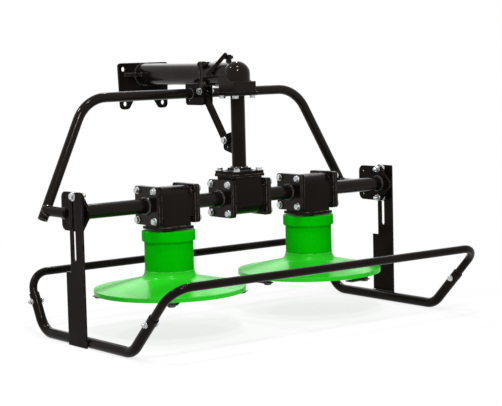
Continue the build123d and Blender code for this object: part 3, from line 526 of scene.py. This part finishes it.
class Surface:
    """Node tree of one procedural material."""

    def __init__(self, name):
        self.material = bpy.data.materials.new(name)
        self.material.use_nodes = True
        self.tree = self.material.node_tree
        self.shader = self.tree.nodes["Principled BSDF"]
        self.places = self.node("ShaderNodeTexCoord").outputs["Object"]

    def node(self, kind, **settings):
        node = self.tree.nodes.new(kind)
        for name, value in settings.items():
            setattr(node, name, value)
        return node

    def link(self, start, end):
        self.tree.links.new(start, end)

    def noise(self, texture, stretch=(1, 1, 1)):
        scale, detail = texture
        mapping = self.node("ShaderNodeMapping")
        mapping.inputs["Scale"].default_value = stretch
        self.link(self.places, mapping.inputs["Vector"])
        noise = self.node("ShaderNodeTexNoise")
        noise.inputs["Scale"].default_value = scale
        noise.inputs["Detail"].default_value = detail
        self.link(mapping.outputs["Vector"], noise.inputs["Vector"])
        return noise.outputs["Fac"]

    def spread(self, value, source, target=(0.0, 1.0)):
        """Maps a value's range to another range."""
        node = self.node("ShaderNodeMapRange")
        for name, number in zip(("From Min", "From Max", "To Min", "To Max"), (*source, *target)):
            node.inputs[name].default_value = number
        self.link(value, node.inputs["Value"])
        return node.outputs["Result"]

    def multiply(self, first, second):
        node = self.node("ShaderNodeMath", operation="MULTIPLY")
        self.link(first, node.inputs[0])
        self.link(second, node.inputs[1])
        return node.outputs["Value"]

    def mix(self, factor, first, second):
        """Mix of two colours, each a tuple or an output."""
        node = self.node("ShaderNodeMix", data_type="RGBA")
        self.link(factor, node.inputs["Factor"])
        for name, value in (("A", first), ("B", second)):
            target = [socket for socket in node.inputs if socket.name == name and socket.type == "RGBA"][0]
            if isinstance(value, tuple):
                target.default_value = (*value, 1.0)
            else:
                self.link(value, target)
        return [socket for socket in node.outputs if socket.type == "RGBA"][0]

    def rounded(self, radius):
        """Normal that is rounded over the edges."""
        bevel = self.node("ShaderNodeBevel", samples=BEVEL_SAMPLES)
        bevel.inputs["Radius"].default_value = radius
        return bevel.outputs["Normal"]

    def edge_mask(self, normal):
        """Mask of where the rounding turns the normal."""
        geometry = self.node("ShaderNodeNewGeometry")
        dot = self.node("ShaderNodeVectorMath", operation="DOT_PRODUCT")
        self.link(normal, dot.inputs[0])
        self.link(geometry.outputs["Normal"], dot.inputs[1])
        return self.spread(dot.outputs["Value"], EDGE_TURN)

    def bump(self, height, depth, normal):
        node = self.node("ShaderNodeBump")
        node.inputs["Distance"].default_value = depth
        self.link(height, node.inputs["Height"])
        self.link(normal, node.inputs["Normal"])
        return node.outputs["Normal"]

    def finish(self, color, roughness, normal, constants):
        """Links the shader's textured sockets and sets its constant ones."""
        self.link(color, self.shader.inputs["Base Color"])
        self.link(roughness, self.shader.inputs["Roughness"])
        self.link(normal, self.shader.inputs["Normal"])
        for name, value in constants.items():
            self.shader.inputs[name].default_value = value
        return self.material


def paint(name, tones, edge_highlight, tint, edge_radius, roughness, shine, swell=0.0):
    """Sprayed paint: slow colour drift, orange peel, a painted highlight on the edges, and the swell of a
    casting.
    """
    surface = Surface(name)
    normal = surface.rounded(edge_radius)
    edge = surface.edge_mask(normal)
    if swell:
        normal = surface.bump(surface.noise(SWELL_NOISE), swell, normal)
    drift = surface.spread(surface.noise(DRIFT_NOISE), MIDDLE)
    color = surface.mix(drift, *tones)
    # Painted highlight: the paler colour goes on the rounded edges, in patches from noise, where the lamps
    # would show on the edges
    highlight_mask = surface.multiply(edge, surface.spread(surface.noise(EDGE_HIGHLIGHT_NOISE), NARROW))
    color = surface.mix(highlight_mask, color, edge_highlight)
    haze = surface.spread(surface.noise(HAZE_NOISE), WIDE, (roughness, roughness + HAZE_SPAN))
    peel = surface.bump(surface.noise(PEEL_NOISE), PEEL_DEPTH, normal)
    return surface.finish(color, haze, peel, {"Specular IOR Level": shine, "Specular Tint": tint})


def plated_metal(name, tones, roughness):
    """Zinc with a mottled plating and fine scratches."""
    surface = Surface(name)
    normal = surface.rounded(METAL_EDGE)
    color = surface.mix(surface.spread(surface.noise(MOTTLE_NOISE), WIDE), *tones)
    haze = surface.spread(surface.noise(PLATING_NOISE), WIDE, (roughness, roughness + PLATING_SPAN))
    scratches = surface.bump(surface.noise(SCRATCH_NOISE, SCRATCH_STRETCH), SCRATCH_DEPTH, normal)
    return surface.finish(color, haze, scratches, {"Metallic": 1.0})


def turned_steel(name, stretch):
    """Lathe-turned steel: fine rings across the axis that isn't stretched."""
    surface = Surface(name)
    normal = surface.rounded(METAL_EDGE)
    rings = surface.noise(TURNING_NOISE, stretch)
    color = surface.mix(surface.spread(surface.noise(STAIN_NOISE), STAINED), *STEEL_TONES)
    haze = surface.spread(rings, WIDE, TURNED_ROUGHNESS)
    return surface.finish(color, haze, surface.bump(rings, TURNING_DEPTH, normal), {"Metallic": 1.0})


def knife_metal(name):
    """Dark hardened steel with scale, and brighter on its edges."""
    surface = Surface(name)
    normal = surface.rounded(KNIFE_EDGE)
    edge = surface.edge_mask(normal)
    color = surface.mix(surface.spread(surface.noise(SCALE_NOISE), MIDDLE), *KNIFE_TONES)
    color = surface.mix(edge, color, BRIGHT_KNIFE_EDGE)
    haze = surface.spread(surface.noise(TEMPER_NOISE), WIDE, KNIFE_ROUGHNESS)
    pits = surface.bump(surface.noise(PIT_NOISE), PIT_DEPTH, normal)
    return surface.finish(color, haze, pits, {"Metallic": KNIFE_METALLIC})


# Each paint's third colour is its painted edge highlight
black_paint = paint("black_paint", BLACK_TONES, EDGE_HIGHLIGHT_BLACK, WARM_TINT,
                    edge_radius=0.0022, roughness=0.08, shine=0.032)
pipe_paint = paint("pipe_paint", BLACK_TONES, EDGE_HIGHLIGHT_BLACK, WARM_TINT,
                   edge_radius=0.0016, roughness=0.07, shine=0.12)
rail_paint = paint("rail_paint", BLACK_TONES, EDGE_HIGHLIGHT_BLACK, WARM_TINT,
                   edge_radius=0.0016, roughness=0.07, shine=0.065)
cast_paint = paint("cast_paint", BLACK_TONES, EDGE_HIGHLIGHT_CASTING, WARM_TINT,
                   edge_radius=0.0032, roughness=0.07, shine=0.065, swell=0.0012)
weld_paint = paint("weld_paint", BLACK_TONES, EDGE_HIGHLIGHT_WELD, PLAIN_TINT,
                   edge_radius=0.0012, roughness=0.05, shine=0.5)
green_paint = paint("green_paint", DISC_TONES, EDGE_HIGHLIGHT_DISC, PLAIN_TINT,
                    edge_radius=0.0040, roughness=0.16, shine=0.085)
drum_paint = paint("drum_paint", DRUM_TONES, EDGE_HIGHLIGHT_DRUM, PLAIN_TINT,
                   edge_radius=0.0026, roughness=0.20, shine=0.001)
zinc = plated_metal("zinc", ZINC_TONES, roughness=0.22)
knife_steel = knife_metal("knife_steel")
turned_upright = turned_steel("turned_upright", UPRIGHT_RINGS)
turned_along = turned_steel("turned_along", RINGS_ALONG_Y)

# The material of each slot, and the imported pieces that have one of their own
slot_materials = {"black_paint": black_paint, "green_paint": green_paint, "zinc": zinc,
                  "knife_steel": knife_steel, "bare_steel": turned_upright}
own_materials = (
    (turned_along, ("bearing_carrier", "input_coupling")),
    (cast_paint, ("centre_gearbox", "rotor_gearbox_left", "rotor_gearbox_right")),
    (pipe_paint, ("hoop", "inner_tube_left", "inner_tube_right", "outer_tube_left", "outer_tube_right",
                  "drive_tube", "top_gearbox")),
    (rail_paint, ("skid_left", "skid_right", "front_guard", "rear_guard", "column_tube")),
    (drum_paint, ("rotor_drum_left", "rotor_drum_right")),
)
node_slots = {entry["node"]: entry["material_slot"] for entry in frame["record"]["subparts"]}
for node, cad in frame["nodes"].items():
    cad.data.materials.clear()
    cad.data.materials.append(slot_materials[node_slots[node]])
for material, nodes in own_materials:
    for node in nodes:
        frame["nodes"][node].data.materials[0] = material


# Bolts of the flanged tubes: their heads stand on the tube plates, and the castings are tapped
axle = middle("centre_gearbox")
axle.z = middle("inner_tube_left").z
for name, side in SIDES:
    flange_bolts = Shape()
    for seat_x, facing in tube_plate_faces(name, side):
        for y in (-TUBE_BOLT_HALF, TUBE_BOLT_HALF):
            for z in (-TUBE_BOLT_HALF, TUBE_BOLT_HALF):
                seat = Vector((seat_x, axle.y + y, axle.z + z))
                bolt_head(flange_bolts, seat, X_AXIS * facing, FRAME_THREAD)
    make_piece(f"flange_bolts_{name}", flange_bolts, "frame", zinc)

# Bright bolts of the column, and the bolts of the drive flange under its paint
column_bolts = Shape()
drive_bolts = Shape()
drive_axis = middle("drive_tube")
base_top = low_corner("column_tube").z
head_low = low_corner("column_head").z
drive_flange_back = high_corner("drive_flange").y
casting_back = 2 * low_corner("drive_flange").y - drive_flange_back
for one in (-1, 1):
    for two in (-1, 1):
        bolt_head(column_bolts, Vector((one * BASE_BOLT_HALF, axle.y + two * BASE_BOLT_HALF, base_top)),
                  Z_AXIS, FRAME_THREAD)
        bolt_head(column_bolts, Vector((one * HEAD_BOLT_HALF, axle.y + two * HEAD_BOLT_HALF, head_low)),
                  -Z_AXIS, FRAME_THREAD)
        x = drive_axis.x + one * DRIVE_BOLT_HALF
        z = drive_axis.z + two * DRIVE_BOLT_HALF
        bolt_head(drive_bolts, Vector((x, drive_flange_back, z)), Y_AXIS, SMALL_THREAD)
        bolt_nut(drive_bolts, Vector((x, casting_back, z)), -Y_AXIS, SMALL_THREAD)
make_piece("column_bolts", column_bolts, "frame", zinc)
make_piece("drive_bolts", drive_bolts, "frame", black_paint)

# Clamp bolts: heads outside on the slotted plates, a nut and washer between plate and end flange, and
# the last nut inside on the flange
clamp_washer_r = WIDE_WASHER_RADIUS * FRAME_THREAD
clamp_levels = {"left": [high_corner("clamp_bolts_left").z - clamp_washer_r],
                "right": [low_corner("clamp_bolts_right").z + clamp_washer_r,
                          high_corner("clamp_bolts_right").z - clamp_washer_r]}
for name, side in SIDES:
    clamp_bolts = Shape()
    plate_in, plate_out = sides_of(f"skid_plate_{name}", side)
    flange_in, flange_out = sides_of(f"end_flange_{name}", side)
    spacer = abs(plate_in - flange_out) - WASHER_HEIGHT * FRAME_THREAD
    for z in clamp_levels[name]:
        through_bolt(clamp_bolts, Vector((plate_out, axle.y, z)), Vector((flange_in, axle.y, z)),
                     FRAME_THREAD, WIDE_WASHER_RADIUS, LONG_THREAD_END)
        washer(clamp_bolts, Vector((plate_in, axle.y, z)), -X_AXIS * side, FRAME_THREAD, WIDE_WASHER_RADIUS)
        hexagon(clamp_bolts, Vector((flange_out, axle.y, z)), X_AXIS * side, HEX_FLATS * FRAME_THREAD, spacer,
                random.uniform(0, math.pi))
    make_piece(f"clamp_fasteners_{name}", clamp_bolts, "frame", zinc, [f"clamp_bolts_{name}"])

# Bolts of the brace, at the centres of its rounded ends
brace_end = BRACE_WIDTH / 2
brace_low, brace_high = low_corner("brace_bar"), high_corner("brace_bar")
cheek = high_corner("hoop_bracket").x
lug = high_corner("column_lug").x
brace_bolts = Shape()
for left_x, right_x, y, z in ((-cheek, cheek, brace_high.y - brace_end, brace_high.z - brace_end),
                              (brace_low.x, lug, brace_low.y + brace_end, brace_low.z + brace_end)):
    through_bolt(brace_bolts, Vector((left_x, y, z)), Vector((right_x, y, z)), FRAME_THREAD)
make_piece("brace_fasteners", brace_bolts, "frame", zinc, ["brace_bolts"])

# Bolts through the skid sleeves and the guards, their nuts outside
hex_corner = HEX_FLATS * SMALL_THREAD / math.sqrt(3)
hex_half = HEX_FLATS * SMALL_THREAD / 2
bolts_low, bolts_high = low_corner("guard_bolts"), high_corner("guard_bolts")
sleeve_bolts = Shape()
for name, side in SIDES:
    x = middle(f"skid_{name}").x
    reach = X_AXIS * side * RAIL_PIPE_R
    for y, z in ((bolts_low.y + hex_corner, bolts_high.z - hex_half),
                 (bolts_high.y - hex_corner, bolts_low.z + hex_half)):
        through_bolt(sleeve_bolts, Vector((x, y, z)) - reach, Vector((x, y, z)) + reach, SMALL_THREAD)
make_piece("sleeve_fasteners", sleeve_bolts, "skid_frame", zinc, ["guard_bolts"])

# Mounting plate with round upper corners
plate_low, plate_high = low_corner("mounting_plate"), high_corner("mounting_plate")
half_outline = [(plate_high.x, plate_high.z, PLATE_ROUND), (TAB_OUTER_HALF, plate_low.z, TAB_ROUND),
                (TAB_INNER_HALF, plate_low.z, TAB_ROUND), (TAB_ROOT_HALF, PLATE_WAIST_Z, 0)]
plate_corners = half_outline + [(-x, z, radius) for x, z, radius in reversed(half_outline)]
plate_outlines = [round_corners(plate_corners)]
plate_outlines.extend(hole(side * x, z, PLATE_HOLE_R) for side in (-1, 1) for x, z in (TAB_HOLE, TOP_HOLE))
plate_outlines.append(hole(drive_axis.x, drive_axis.z, PLATE_BORE_R))
rounded_plate = plate_mesh(plate_outlines, plate_low.y, plate_high.y, PLATE_EDGE)
finish_piece("rounded_plate", rounded_plate, "frame", black_paint, ["mounting_plate"])

# Weld beads of the frame, and the domes on the hoop's stubs
frame_welds = Shape()
stub_caps = Shape()
hoop_top = high_corner("hoop") - Vector((0, RAIL_PIPE_R, RAIL_PIPE_R))
bracket_low, bracket_high = low_corner("hoop_bracket"), high_corner("hoop_bracket")
bracket_rest = drive_axis.z - math.sqrt(DRIVE_PIPE_R ** 2 - cheek ** 2)
lug_low, lug_high = low_corner("column_lug"), high_corner("column_lug")
lug_root = axle.y + math.sqrt(FRAME_PIPE_R ** 2 - lug ** 2)
gusset_low, gusset_high = low_corner("plate_gussets"), high_corner("plate_gussets")
for name, side in SIDES:
    flange_in, flange_out = sides_of(f"end_flange_{name}", side)
    for x, facing in tube_plate_faces(name, side) + [(flange_in, -side)]:
        centre = Vector((x + facing * BEAD_RISE * PLATE_BEAD_R, axle.y, axle.z))
        weld(frame_welds, circle(centre, X_AXIS, FRAME_PIPE_R + BEAD_RISE * PLATE_BEAD_R), True, PLATE_BEAD_R)
    stub = middle(f"hoop_stub_{name}")
    stub_front, flange_back = low_corner(f"hoop_stub_{name}").y, high_corner(f"end_flange_{name}").y
    for x in (flange_in, flange_out):
        stub_cap(stub_caps, Vector((stub.x, stub_front, stub.z)), x, 1 if x > stub.x else -1)
        rise = math.sqrt(RAIL_PIPE_R ** 2 - (x - stub.x) ** 2)
        for z in (stub.z - rise, stub.z + rise):
            weld(frame_welds, [Vector((x, stub_front, z)), Vector((x, flange_back, z))])
    hoop_foot = Vector((stub.x, HOOP_FOOT_Y, stub.z))
    hoop_corner = Vector((side * HOOP_TOP_HALF, hoop_top.y, hoop_top.z))
    weld(frame_welds, pipe_on_pipe(hoop_foot, (hoop_corner - hoop_foot).normalized()), True)
    for x in (side * (cheek - CHEEK_THICK), side * cheek):
        weld(frame_welds, circle(Vector((x, hoop_top.y, hoop_top.z)), X_AXIS, RAIL_PIPE_R), True)
    weld(frame_welds, [Vector((side * cheek, bracket_low.y, bracket_rest)),
                       Vector((side * cheek, bracket_high.y, bracket_rest))])
    weld(frame_welds, [Vector((side * lug, lug_root, lug_low.z)), Vector((side * lug, lug_root, lug_high.z))])
    for z in (gusset_low.z, gusset_high.z):
        weld(frame_welds, [Vector((side * gusset_high.x, gusset_high.y, z)),
                           Vector((side * DRIVE_PIPE_R, gusset_high.y, z)),
                           Vector((side * DRIVE_PIPE_R, gusset_low.y, z))])
pad_top = high_corner("column_base").z
weld(frame_welds, circle(Vector((0, axle.y, pad_top)), Z_AXIS, FRAME_PIPE_R + BEAD_RISE * PLATE_BEAD_R), True,
     PLATE_BEAD_R)
weld(frame_welds, circle(Vector((0, axle.y, head_low)), Z_AXIS, FRAME_PIPE_R + BEAD_RISE * BEAD_R), True)
weld(frame_welds, [Vector((x * PAD_HALF, axle.y + y * PAD_HALF, base_top)) for x, y in SQUARE], True)
for y in (drive_flange_back, plate_low.y):
    weld(frame_welds, circle(Vector((0, y, drive_axis.z)), Y_AXIS, DRIVE_PIPE_R + BEAD_RISE * BEAD_R), True)
make_piece("frame_welds", frame_welds, "frame", weld_paint)
make_piece("stub_caps", stub_caps, "frame", black_paint)

# Beads above the skid pipes, inside the slotted plates
skid_welds = Shape()
for name, side in SIDES:
    slotted_low, slotted_high = low_corner(f"skid_plate_{name}"), high_corner(f"skid_plate_{name}")
    pipe = middle(f"skid_{name}")
    bead_x = sides_of(f"skid_plate_{name}", side)[0] - side * BEAD_STAND * PLATE_BEAD_R
    reach = RAIL_PIPE_R + BEAD_RISE * PLATE_BEAD_R
    bead_z = RAIL_PIPE_R + math.sqrt(reach ** 2 - (bead_x - pipe.x) ** 2)
    weld(skid_welds, [Vector((bead_x, slotted_low.y, bead_z)), Vector((bead_x, slotted_high.y, bead_z))],
         radius=PLATE_BEAD_R)
make_piece("skid_welds", skid_welds, "skid_frame", weld_paint)


# Floor, light and camera

# Floor: half its size, its own surface, how white it is made near the object and far from it, and the
# distances from the middle between which that changes
FLOOR_HALF = 60.0
FLOOR_TONES = (0.86, 0.89)
FLOOR_ROUGHNESS = 0.8
FLOOR_SHINE = 0.1
FLOOR_WHITE = (0.8, 1.0)
FLOOR_FADE = (0.9, 2.6)

# World: the light that it gives, and the white that is seen in its place
WORLD_LIGHT = 0.36
WORLD_SEEN = 1.0

# Lamps: place, the point that they are turned to, width, height and power
LAMP_TARGET = (0.0, 0.0, 0.5)
PANEL_TARGET = (0.0, 0.0, 0.4)
LAMPS = (
    ("back", (1.35, 1.75, 3.5), LAMP_TARGET, 0.3, 0.3, 30.0),
    ("top", (-0.55, -1.1, 3.8), LAMP_TARGET, 0.3, 0.3, 40.0),
    ("front", (-1.6, -2.7, 3.0), LAMP_TARGET, 0.35, 0.35, 80.0),
    ("left", (-1.95, 1.35, 3.4), LAMP_TARGET, 0.3, 0.3, 40.0),
    ("panel", (2.9, 3.76, 3.15), PANEL_TARGET, 5.0, 3.0, 80.0),
)


def seen_rays(tree):
    """Value that is 1 on the rays that show a thing itself or its mirror image, and 0 on those that light."""
    rays = tree.nodes.new("ShaderNodeLightPath")
    seen = rays.outputs["Is Camera Ray"]
    for name in ("Is Glossy Ray", "Is Transmission Ray"):
        either = tree.nodes.new("ShaderNodeMath")
        either.operation = "MAXIMUM"
        tree.links.new(seen, either.inputs[0])
        tree.links.new(rays.outputs[name], either.inputs[1])
        seen = either.outputs["Value"]
    return seen


def studio_floor(name):
    """Pale floor that fades into the white behind it, and keeps the shadow near the object."""
    surface = Surface(name)
    geometry = surface.node("ShaderNodeNewGeometry")
    distance = surface.node("ShaderNodeVectorMath", operation="LENGTH")
    surface.link(geometry.outputs["Position"], distance.inputs[0])
    far = surface.spread(distance.outputs["Value"], FLOOR_FADE, FLOOR_WHITE)
    speckle = surface.spread(surface.noise(SPECKLE_NOISE), WIDE, FLOOR_TONES)
    tone = surface.node("ShaderNodeCombineColor")
    for channel in ("Red", "Green", "Blue"):
        surface.link(speckle, tone.inputs[channel])
    surface.link(tone.outputs["Color"], surface.shader.inputs["Base Color"])
    surface.shader.inputs["Roughness"].default_value = FLOOR_ROUGHNESS
    surface.shader.inputs["Specular IOR Level"].default_value = FLOOR_SHINE
    white = surface.node("ShaderNodeEmission")
    white.inputs["Color"].default_value = (1, 1, 1, 1)
    blend = surface.node("ShaderNodeMixShader")
    surface.link(surface.multiply(far, seen_rays(surface.tree)), blend.inputs["Fac"])
    surface.link(surface.shader.outputs["BSDF"], blend.inputs[1])
    surface.link(white.outputs["Emission"], blend.inputs[2])
    surface.link(blend.outputs["Shader"], surface.tree.nodes["Material Output"].inputs["Surface"])
    return surface.material


def softbox(name, place, target, width, height, power):
    """Rectangular lamp that the camera doesn't see."""
    lamp = bpy.data.lights.new(name, "AREA")
    lamp.shape = "RECTANGLE"
    lamp.size = width
    lamp.size_y = height
    lamp.energy = power
    light = bpy.data.objects.new(name, lamp)
    light.location = place
    light.rotation_euler = (Vector(target) - Vector(place)).to_track_quat("-Z", "Y").to_euler()
    light.visible_camera = False
    bpy.context.scene.collection.objects.link(light)


floor_mesh = bpy.data.meshes.new("studio_floor")
floor_mesh.from_pydata([(x * FLOOR_HALF, y * FLOOR_HALF, 0) for x, y in SQUARE], [], [(0, 1, 2, 3)])
floor_mesh.materials.append(studio_floor("studio_floor"))
floor = bpy.data.objects.new("studio_floor", floor_mesh)
bpy.context.scene.collection.objects.link(floor)

world = bpy.data.worlds.new("studio")
bpy.context.scene.world = world
world.use_nodes = True
sky = world.node_tree.nodes["Background"]
sky.inputs["Color"].default_value = (1, 1, 1, 1)
level = world.node_tree.nodes.new("ShaderNodeMapRange")
level.inputs["To Min"].default_value = WORLD_LIGHT
level.inputs["To Max"].default_value = WORLD_SEEN
world.node_tree.links.new(seen_rays(world.node_tree), level.inputs["Value"])
world.node_tree.links.new(level.outputs["Result"], sky.inputs["Strength"])

for lamp in LAMPS:
    softbox(*lamp)

azimuth = math.radians(CAMERA_AZIMUTH)
pitch = math.radians(CAMERA_PITCH)
roll = math.radians(CAMERA_ROLL)
back = Vector((math.sin(azimuth) * math.cos(pitch), -math.cos(azimuth) * math.cos(pitch), math.sin(pitch)))
level_right = Vector((math.cos(azimuth), math.sin(azimuth), 0))
level_up = back.cross(level_right)
right = level_right * math.cos(roll) + level_up * math.sin(roll)
up = level_up * math.cos(roll) - level_right * math.sin(roll)
camera_data = bpy.data.cameras.new("camera")
camera_data.sensor_width = SENSOR_WIDTH
camera_data.lens = PHOTO_FOCAL * SENSOR_WIDTH / PHOTO_WIDTH
camera = bpy.data.objects.new("camera", camera_data)
camera_place = Matrix.Translation(CAMERA_TARGET + back * CAMERA_DISTANCE)
camera.matrix_world = camera_place @ Matrix((right, up, back)).transposed().to_4x4()
bpy.context.scene.collection.objects.link(camera)
bpy.context.scene.camera = camera
bpy.context.scene.view_settings.view_transform = "Standard"
